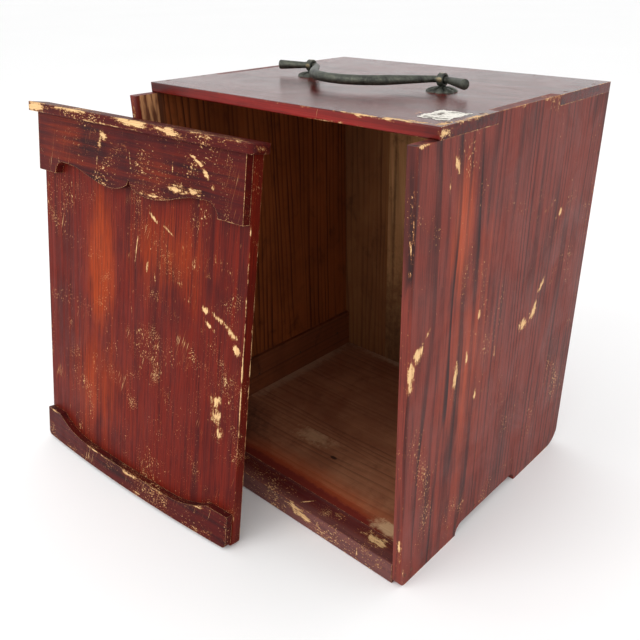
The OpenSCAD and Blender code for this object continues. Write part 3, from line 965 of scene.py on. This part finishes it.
    def make(self) -> None:
        """Makes and dresses the whole handle."""
        self.bail()
        for side, end in ((-1, "left"), (1, "right")):
            self.rosette(side, "rosette_" + end)
            rub = self.rubbed(side, [(0, -4.7, 9, 4, 0.8, 4), (0, 0, 12.5, 4, 4, 0.7)])
            Carpentry.dress("eye_" + end, self.bronze.make("bronze_eye_" + end, rub))


INNER_WOOD = Timber(pale=(0.34, 0.090, 0.022), warm=(0.20, 0.048, 0.011),
                    dark=(0.030, 0.006, 0.003), grime=0.65, line=1.0)
FLOOR_WOOD = Timber(pale=(0.46, 0.200, 0.100), warm=(0.28, 0.100, 0.048),
                    dark=(0.085, 0.028, 0.016), line=0.50)
# Painted shade: darker wood for the back's left plank, standing for the shade at the back left of the
# inside
SHADED_BACK_WOOD = Timber(pale=(0.36, 0.150, 0.050), warm=(0.23, 0.080, 0.026),
                   dark=(0.070, 0.020, 0.009), grime=0.55, line=0.7)
FAIR_WOOD = Timber(pale=(0.68, 0.360, 0.150), warm=(0.40, 0.170, 0.060),
                   dark=(0.090, 0.030, 0.013), grime=0.65)
BATTEN_WOOD = Timber(pale=(0.24, 0.070, 0.024), warm=(0.15, 0.040, 0.014),
                     dark=(0.035, 0.009, 0.005), grime=0.8, line=0.6)
PEG_WOOD = Timber(pale=(0.16, 0.055, 0.028), warm=(0.09, 0.026, 0.014),
                  dark=(0.03, 0.009, 0.006), line=0.3)
SIDE_LACQUER = Lacquer(deep=(0.026, 0.0070, 0.0070), red=(0.19, 0.0300, 0.0190),
                       glow=(0.38, 0.058, 0.0160), relief=False, line=1.0, flecks=1.3, even=0.40,
                       fibre=0.60)
TOP_LACQUER = Lacquer(deep=(0.030, 0.0050, 0.0050), red=(0.105, 0.0090, 0.0060),
                      glow=(0.28, 0.014, 0.010), gloss=0.13, flecks=0.1, scratch=0.2, shine=0.19,
                      smear=0.06, line=0.45)
SILL_LACQUER = Lacquer(deep=(0.095, 0.030, 0.030), red=(0.180, 0.058, 0.048),
                       glow=(0.085, 0.0040, 0.0035), flecks=1.9, scratch=1.0)
DOOR_LACQUER = Lacquer(deep=(0.034, 0.0045, 0.0050), red=(0.150, 0.0115, 0.0050),
                       glow=(0.34, 0.040, 0.0030), flecks=1.3, scratch=1.1, shine=0.08, even=0.40)
TRIM_LACQUER = replace(DOOR_LACQUER, deep=(0.018, 0.0045, 0.0060), red=(0.085, 0.0070, 0.0055),
                       flecks=1.5, line=0.40, even=0.20, carved=True)
IRON = Bronze(dark=(0.02, 0.014, 0.010), green=(0.06, 0.038, 0.026))
NOWHERE = spot(0, 0, -50, 1, 1, 1)


@dataclass
class Carcass:
    """The box itself: sides, top, back, floor, sill and battens."""

    shop: Carpentry

    def sides(self) -> None:
        """The side boards: straight fine grain behind a bold arched front third on the right."""
        front = SIZES.front_y / MM
        right = marks(Axis.X, (136, front, 0), [
            (0, 3, 180, 3, 6, 18, 0, 1.2), (0, 9, 195, 3, 9, 8, 40, 1.2),
            (0, 18, 205, 3, 3, 9, -40, 1.1), (0, 55, 160, 3, 4, 17, 0, 1.1),
            (0, 68, 168, 3, 2.4, 12, 0, 1.1), (0, 84, 130, 3, 3.2, 12), (0, 80, 196, 3, 3, 6),
            (0, 148, 163, 3, 12, 9, -35, 1.1), (0, 164, 170, 3, 7, 16, -30, 1.1),
            (0, 172, 188, 3, 4, 12, -40), (0, 40, 309, 3, 5, 10, 20), (0, 34, 296, 3, 2, 8, 0, 0.8),
            (0, 189, 244, 3, 3, 7, 0, 0.9), (0, 208, 236, 3, 7, 14, 0, 0.24),
            (0, 165, 250, 3, 22, 10, 0, 0.22), (0, 110, 150, 3, 10, 18, 0, 0.24),
            (-2, 0, 40, 4, 2, 26, 0, 0.7), (0, 3, 14, 4, 3, 14, 0, 0.7),
            (0, 30, 44, 3, 1, 13, 55, 0.7), (0, 6, 325.5, 5, 12, 2.2, 0, 0.8),
            (0, 45, 327, 3, 40, 1.4, 0, 0.6), (0, 150, 332, 3, 90, 1, 0, 0.45),
            (-1.5, 0, 262, 2.6, 1.6, 70, 0, 0.4),
        ])
        left = marks(Axis.X, (-136, front, 0), [
            (0, 60, 120, 3, 7, 20, 20), (0, 170, 200, 3, 6, 14, -30), (4, 0, 312, 5, 1.8, 16, 0, 0.7),
            (0, 120, 60, 3, 12, 5, 0, 0.8), (0, 90, 240, 3, 20, 12, 0, 0.24),
            (0, 40, 180, 3, 3, 14, 10, 0.9),
        ])
        glow_right = marks(Axis.X, (136, front, 0), [
            (0, 52, 262, 4, 15, 60, 0, 1.2), (0, 66, 150, 4, 40, 150, 0, 0.45),
        ])
        glow_left = marks(Axis.X, (-136, front, 0), [(0, 120, 160, 4, 80, 120, 0, 0.8)])
        plane = SIZES.inner_x + SKIN
        bold = Grain(Axis.Z, 0.0052, 3.0, 3.0, (SIZES.front_y + 0.084, 0.0150))
        self.shop.lacquered("side_right", bold, Axis.Y, right, glow_right, lacquer=SIDE_LACQUER,
                            bare=Inside(Axis.X, plane, -1.0, INNER_WOOD, True))
        self.shop.lacquered("side_left", Grain(Axis.Z, 0.0056, 4.0, 7.0), Axis.Y, left, glow_left,
                            bare=Inside(Axis.X, -plane, 1.0, INNER_WOOD, True))

    def top(self) -> None:
        """The glossy top board, with bare wood at its front right corner and along its edges."""
        front = (SIZES.front_y + SIZES.recess) / MM
        places = marks(Axis.Z, (0, front, 0), [
            (110, 3, 333, 30, 5, 2, 8), (132, 12, 333, 6, 14, 2), (80, 1, 333, 30, 3, 2),
            (134, 34, 333, 4, 36, 2), (136, 6, 329, 4, 14, 4, 0, 0.8),
            (136, 120, 333, 2.4, 100, 1.4, 0, 0.5), (20, 0, 333, 70, 1, 1.5, 0, 0.5),
            (40, 0, 326, 90, 2, 1, 0, 0.5), (101, 26, 333, 4, 10, 2, 0, 0.7),
        ])
        edge = [spot(0, front - 1, 328, 200, 2.2, 9, depth=1.4)]
        self.shop.lacquered("top_board", Grain(Axis.X, 0.0060, 4.0, 5.0), Axis.Y, places, edge,
                            lacquer=TOP_LACQUER,
                            bare=Inside(Axis.Z, SIZES.side_h + SKIN / 3, -1.0, Timber(grime=0.8)))

    def sill(self) -> None:
        """The front sill, bare and cracked where the door's foot has rubbed it."""
        front = SIZES.front_y / MM
        places = marks(Axis.Y, (0, front, 0), [
            (36, 0, 11, 20, 3, 6, 6, 1.2), (28, 0, 15, 18, 3, 4, 0, 1.1), (94, 0, 9, 1.4, 2, 10, 3),
        ]) + marks(Axis.Z, (0, front, 0), [
            (34, 10, 18.5, 1.2, 9, 2, -40, 0.9), (62, 14, 18.5, 16, 3, 2, 0, 0.6),
            (104, 13, 18.5, 22, 8, 2, 0, 0.9), (-50, 12, 18.5, 40, 5, 2, 0, 0.55),
            (0, 0, 18.5, 140, 1.4, 1.1, 0, 0.95), (120, 0, 8, 12, 2, 8, 0, 0.45),
            (10, 12, 18.5, 90, 8, 2, 0, 0.24), (84, 0, 15, 6, 2, 3, 0, 0.7),
        ])
        self.shop.lacquered("front_sill", Grain(Axis.X, 0.0050, 4.0, 9.0), Axis.Y, places,
                            [spot(0, front + 13, 20, 220, 11.4, 3.2, depth=1.7)],
                            lacquer=SILL_LACQUER)

    def floor(self) -> None:
        """The floor boards: lacquer has crept in over the front one, and dust lies along the walls."""
        red, orange, dust = (0.150, 0.013, 0.008), (0.45, 0.085, 0.022), (0.56, 0.38, 0.25)
        front = [
            Stain(spot(0, 12, 18.5, 150, 14, 30), red, 0.95, 0.35, 0.5),
            Stain(spot(10, 20, 18.5, 150, 24, 30), orange, 0.55, 0.8, 0.6),
            Stain(spot(0, 8, 18.5, 150, 12, 30), red, 0.9, 0.3, 0.6),
            Stain(spot(10, 56, 18.5, 4.5, 2.2, 5), (0.035, 0.012, 0.008), 0.9, 0.4, 0.4),
            Stain(spot(104, 18, 18.5, 20, 9, 8), (0.72, 0.47, 0.26), 0.8, 0.6, 2.0),
            Stain(spot(-24, 70, 18.5, 34, 16, 8, 8), (0.62, 0.38, 0.21), 0.7, 0.9, 2.4),
            # Painted shade: the front board darkened towards the left wall, behind the leaning door
            Stain(spot(-125, 34, 18.5, 90, 60, 8), (0.045, 0.012, 0.008), 0.85, 0.9, 1.0),
        ]
        rear = [
            Stain(spot(0, 228, 18.5, 150, 10, 8), dust, 0.75, 0.8, 1.4),
            Stain(spot(-122, 150, 18.5, 12, 110, 8), dust, 0.5, 0.8, 1.4),
            Stain(spot(20, 150, 18.5, 70, 50, 8), (0.27, 0.105, 0.055), 0.6, 0.9, 1.0),
        ]
        self.shop.plain("floor_front", Grain(Axis.X, 0.0065, 4.0, 11.0), Axis.Y, FLOOR_WOOD,
                        stains=front)
        self.shop.plain("floor_rear", Grain(Axis.X, 0.0075, 4.0, 12.0), Axis.Y, FLOOR_WOOD,
                        stains=rear)

    def back(self) -> None:
        """The three back planks: bare inside, red outside, paler on the right; the left plank's darker
        wood is painted shade.
        """
        outer = Outer(Axis.Y, SIZES.back_y - 0.0001)
        knots = [
            Stain(spot(-48, 229, 100, 4, 8, 3), (0.040, 0.015, 0.008), 0.85, 0.6, 0.5),
            Stain(spot(8, 229, 150, 3, 8, 4), (0.050, 0.018, 0.009), 0.8, 0.6, 0.5),
            Stain(spot(-62, 229, 190, 2.5, 8, 120), (0.045, 0.018, 0.009), 0.6, 0.8, 0.8),
        ]
        shade = Stain(spot(0, 229, 40, 200, 8, 150), (0.085, 0.028, 0.011), 0.85, 0.9, 0.8)
        planks = (("back_left", 0.0070, 14.0, SHADED_BACK_WOOD, []),
                  ("back_middle", 0.0085, 15.0, FAIR_WOOD, knots + [shade]),
                  ("back_right", 0.0070, 16.0, FAIR_WOOD, [shade]))
        for node, pitch, seed, wood, stains in planks:
            grain = Grain(Axis.Z, pitch, 4.0, seed)
            self.shop.plain(node, grain, Axis.X, wood, outer, stains=stains)

    def battens(self) -> None:
        """The inside battens along the floor."""
        for seed, node in ((17.0, "batten_left"), (18.0, "batten_right")):
            self.shop.plain(node, Grain(Axis.Y, 0.0060, 1.2, seed), Axis.Z, BATTEN_WOOD)

    def pegs(self) -> None:
        """The wooden pegs' ends and the small iron pins."""
        for seed, place in ((19.0, "top"), (20.0, "back"), (21.0, "floor"), (22.0, "sill")):
            self.shop.plain(place + "_pegs", Grain(Axis.Z, 0.0012, 1.0, seed), Axis.X, PEG_WOOD)
        Carpentry.dress("batten_pins", IRON.make("iron_batten", [NOWHERE]))

    def make(self) -> None:
        """Dresses the whole box."""
        for step in (self.sides, self.top, self.sill, self.floor, self.back, self.battens, self.pegs):
            step()


@dataclass
class Door:
    """The lift-off door: panel, cap, carved apron and foot rail."""

    shop: Carpentry
    height: float = 306.5

    def panel(self) -> None:
        """The panel: vertical grain, an orange glow left of the middle, and long chips on the right."""
        places = marks(Axis.Y, (0, 0, 0), [
            (86, 0, 187, 10, 4, 5, 20, 1.1), (100, 0, 184, 15, 4, 3.6, 14, 1.15),
            (92, 0, 176, 11, 4, 3, 30, 1.1), (114, 0, 177, 13, 4, 4.6, 32, 1.2),
            (121, 0, 166, 6, 4, 7, 0, 1.2), (101, 0, 119, 10, 4, 9, 10, 1.2),
            (103, 0, 105, 12, 4, 10, -20, 1.2), (108, 0, 92, 7, 4, 9, 20, 1.2),
            (24, 0, 243, 8, 4, 2.6, 35, 1.1), (44, 0, 236, 14, 4, 2, 26),
            (17, 0, 205, 2.6, 4, 9, 10, 1.1), (27, 0, 199, 1.6, 4, 8, -12),
            (0, 0, 179, 4.2, 4, 4.6, 30, 1.1), (-1, 0, 162, 1.1, 4, 20, -12),
            (3, 0, 212, 0.9, 4, 34, 8, 0.9), (14, 0, 116, 9, 4, 1.8, 32),
            (52, 0, 216, 66, 4, 44, 0, 0.26), (-60, 0, 40, 1.1, 4, 14, -30, 0.9),
            (127.4, -0.2, 155, 1.2, 1.5, 170, 0, 0.95), (127.4, 8, 155, 1.1, 1.4, 170, 0, 0.85),
        ])
        glows = marks(Axis.Y, (0, 0, 0), [
            (-44, 0, 190, 26, 12, 80, 0, 1.35), (-52, 0, 80, 60, 12, 80, 0, 0.6),
            (40, 0, 215, 70, 12, 45, 0, 0.6),
        ])
        self.shop.lacquered("door_panel", Grain(Axis.Z, 0.0050, 4.0, 23.0), Axis.X, places, glows,
                            DOOR_LAY, replace(DOOR_LACQUER, line=0.36, fibre=0.85))

    def trim(self) -> None:
        """The cap, the apron and the foot rail, worn bare along their edges."""
        top = self.height
        cap = marks(Axis.Y, (0, 0, top), [
            (-122, -11, 4, 22, 7, 9, 0, 1.4), (-70, -11, 7, 50, 5, 3.4),
            (12, -11, 6, 40, 6, 5, 3, 1.25), (48, -11, 5, 30, 6, 4.4, 4, 1.2),
            (88, -10, 6, 34, 5, 3, 4, 0.9), (118, -8, 7, 18, 9, 2.4, 0, 0.9),
            (136, -2, 4, 3, 7, 5, 0, 0.8), (-135, -4, 4, 7, 11, 7, 0, 1.2),
            (-20, -11, 1, 80, 3, 1.5, 0, 0.8),
        ])
        apron = marks(Axis.Y, (0, 0, top), [
            (-33, -6, -9, 10, 3, 5, 10, 1.1), (-37, -6, -14, 5, 3, 8, 0, 1.1),
            (-41, -6, -30, 0.9, 3, 15, 6), (2, -6, -22, 1, 3, 14, -9), (58, -6, -35, 15, 3, 6, 6, 1.2),
            (76, -6, -34, 14, 3, 4.6, -8, 1.1), (78, -6, -12, 12, 3, 2.2, 24, 1.1),
            (88, -6, -20, 10, 3, 3.2, 50, 1.1), (95, -6, -28, 4, 3, 6, -20),
            (52, -6, -20, 1, 3, 9, 0, 0.8), (-10, -6, -16, 30, 3, 14, 0, 0.24),
            (26, -6, -45, 30, 3, 3, 0, 0.9), (-100, -6, -16, 14, 3, 10, 0, 0.22),
        ])
        rail = marks(Axis.Y, (0, 0, 0), [
            (-116, -8, 29, 10, 4, 2.6), (10, -11, 16, 18, 4, 4, -4), (44, -11, 17, 22, 4, 2.4),
            (-40, -11, 17, 40, 4, 1.4, 0, 0.7), (98, -9, 25, 14, 4, 2.4, -14),
            (104, -8, 6, 14, 5, 5, 0, 0.7), (-70, -9, 3, 30, 4, 2.4, 0, 0.5),
            (20, -11, 3, 60, 4, 1.6, 0, 0.5),
        ])
        glow = marks(Axis.Y, (0, 0, top), [
            (-70, -6, -20, 60, 8, 26, 0, 0.32), (40, -6, -30, 60, 8, 26, 0, 0.26),
        ])
        self.shop.lacquered("door_cap", Grain(Axis.X, 0.0050, 1.0, 25.0), Axis.Y, cap, (), DOOR_LAY,
                            replace(TRIM_LACQUER, flecks=2.0, even=0.5))
        self.shop.lacquered("door_apron", Grain(Axis.X, 0.0060, 1.2, 27.0), Axis.Z, apron, glow,
                            DOOR_LAY, TRIM_LACQUER)
        self.shop.lacquered("door_rail", Grain(Axis.X, 0.0055, 1.2, 29.0), Axis.Z, rail, (),
                            DOOR_LAY, TRIM_LACQUER)

    def fixings(self) -> None:
        """The pegs through the cap and the pins at the back."""
        self.shop.plain("cap_pegs", Grain(Axis.Z, 0.0012, 1.0, 31.0), Axis.X, PEG_WOOD, lay=DOOR_LAY)
        iron = IRON.make("iron_door", [NOWHERE])
        for node in ("apron_pins", "rail_pins"):
            Carpentry.dress(node, iron)

    def make(self) -> None:
        """Dresses the whole door."""
        for step in (self.panel, self.trim, self.fixings):
            step()


@dataclass(frozen=True)
class PaperScrap:
    """The worn, blank scrap of paper pasted near the top's front right corner."""

    middle: tuple[float, float] = (0.1175, 0.0405)
    half: tuple[float, float] = (0.0115, 0.0150)
    thick: float = 0.00018
    inset: float = 0.08

    def make(self) -> None:
        """A thin sheet with a torn outline.

        The sheet is a square grid whose points are pulled in from its edges by waves of several
        lengths, and it lies on the board with its rim curled up very slightly.
        """
        n = 48
        u, v = np.meshgrid(np.linspace(-1, 1, n), np.linspace(-1, 1, n), indexing="ij")
        torn = 0.05 * np.sin(7 * v + 1) + 0.035 * np.sin(23 * v) + 0.02 * np.sin(51 * v + 2)
        frayed = 0.05 * np.sin(6 * u + 2) + 0.03 * np.sin(29 * u) + 0.02 * np.sin(47 * u + 1)
        x = self.middle[0] + self.half[0] * u * (1 - self.inset + torn * np.sign(u))
        y = self.middle[1] + self.half[1] * v * (1 - self.inset + frayed * np.sign(v))
        rim = np.maximum(np.abs(u), np.abs(v)) ** 8
        z = SIZES.top_z + self.thick * (0.35 + 0.65 * rim * (0.5 + 0.5 * np.sin(9 * u + 5 * v)))
        points = np.stack([x, y, z], axis=-1).reshape(-1, 3)
        r = Recipe("worn_paper")
        fibre = r.noise(r.at, (0.0009, 0.0016, 0.001), 5.0, 0.7, 0.8, 51.0)
        stain = r.noise(r.at, (0.007, 0.005, 0.004), 4.0, 0.65, 0.5, 52.0)
        paper = r.ramp(fibre, [(0.3, (0.58, 0.54, 0.46)), (0.6, (0.86, 0.83, 0.76))])
        colour = r.blend(r.span(stain, 0.50, 0.66, 0.0, 0.92), paper, (0.095, 0.070, 0.055))
        material = r.finish(colour, r.span(fibre, 0.3, 0.7, 0.75, 0.9), r.bump(fibre, 0.0002))
        faces = grid_faces(n, n, closed=False)
        put_mesh("paper_scrap", points, faces, "box", material)


@dataclass(frozen=True)
class Studio:
    """The floor, the lights and the camera."""

    eye: Colour = (0.3563, -0.3167, 0.4103)
    azimuth: float = 41.77
    elevation: float = 26.67
    roll: float = 0.34
    sensor: float = 36.0
    lens: float = 39.4689375
    shift: tuple[float, float] = (-0.0375, 0.003125)
    pale: float = 1.03
    reach: float = 20.0

    def camera(self) -> None:
        """The camera, where the box is looked at from."""
        a, e, t = (math.radians(v) for v in (self.azimuth, self.elevation, self.roll))
        ahead = -Vector((math.sin(a) * math.cos(e), -math.cos(a) * math.cos(e), math.sin(e)))
        level = ahead.cross(Vector((0, 0, 1))).normalized()
        right = level * math.cos(t) + ahead.cross(level) * math.sin(t)
        up = -ahead.cross(right)
        data = bpy.data.cameras.new("camera")
        data.sensor_width = self.sensor
        data.lens = self.lens
        data.shift_x, data.shift_y = self.shift
        data.clip_start, data.clip_end = 0.01, 50.0
        camera = bpy.data.objects.new("camera", data)
        turn = Matrix((right, up, -ahead)).transposed()
        camera.matrix_world = Matrix.Translation(Vector(self.eye)) @ turn.to_4x4()
        bpy.context.scene.collection.objects.link(camera)
        bpy.context.scene.camera = camera

    def floor(self) -> None:
        """A plain pale floor."""
        r = Recipe("studio_floor")
        cloud = r.noise(r.at, (0.9, 0.9, 0.9), 2.0, 0.5, 0.0, 1.0)
        colour = r.ramp(cloud, [(0.3, (0.945, 0.945, 0.945)), (0.7, (0.955, 0.955, 0.955))])
        material = r.finish(colour, r.span(cloud, 0.3, 0.7, 0.75, 0.8), r.bump(cloud, 0.0001))
        n = 9
        line = np.linspace(-self.reach, self.reach, n)
        x, y = np.meshgrid(line, line, indexing="ij")
        points = np.stack([x, y, np.zeros_like(x)], axis=-1).reshape(-1, 3)
        faces = grid_faces(n, n, closed=False).tolist()
        floor = new_piece("studio_floor", points, faces, material)

    @staticmethod
    def lamp(name: str, place: Colour, aim: Colour, size: tuple[float, float], power: float,
             colour: Colour = (1.0, 1.0, 1.0)) -> None:
        """A soft rectangular lamp.

        Args:
            name: Its name.
            place: Where it hangs.
            aim: The point it faces.
            size: Its width and height.
            power: Its power in watts.
            colour: Its colour.
        """
        data = bpy.data.lights.new(name, "AREA")
        data.shape = "RECTANGLE"
        data.size, data.size_y = size
        data.energy = power
        data.color = colour
        lamp = bpy.data.objects.new(name, data)
        lamp.location = place
        lamp.rotation_mode = "QUATERNION"
        lamp.rotation_quaternion = (Vector(aim) - Vector(place)).to_track_quat("-Z", "Y")
        bpy.context.scene.collection.objects.link(lamp)

    def lights(self) -> None:
        """A pale surround, a soft key from the front left, and a screen that the top reflects."""
        world = bpy.data.worlds.new("studio")
        world.use_nodes = True
        ground = world.node_tree.nodes["Background"]
        ground.inputs["Color"].default_value = (1.0, 1.0, 1.0, 1.0)
        ground.inputs["Strength"].default_value = self.pale
        bpy.context.scene.world = world
        bpy.context.scene.view_settings.view_transform = "Standard"
        self.lamp("key", (-0.6, -1.5, 1.3), (0, 0.05, 0.15), (1.2, 1.2), 13.0)
        self.lamp("fill", (1.6, -0.4, 0.9), (0, 0.05, 0.15), (1.2, 1.2), 5.0)
        self.lamp("screen", (-1.4, 1.7, 1.25), (0, 0.1, 0.33), (2.2, 1.4), 2.0)

    def make(self) -> None:
        """Sets up the whole studio."""
        self.floor()
        self.lights()
        self.camera()


def main() -> None:
    """Makes every piece in order."""
    logging.basicConfig(level=logging.INFO, format="%(message)s")
    shop = Carpentry()
    Carcass(shop).make()
    Door(shop).make()
    Handle().make()
    PaperScrap().make()
    Studio().make()


if __name__ == "__main__":
    main()
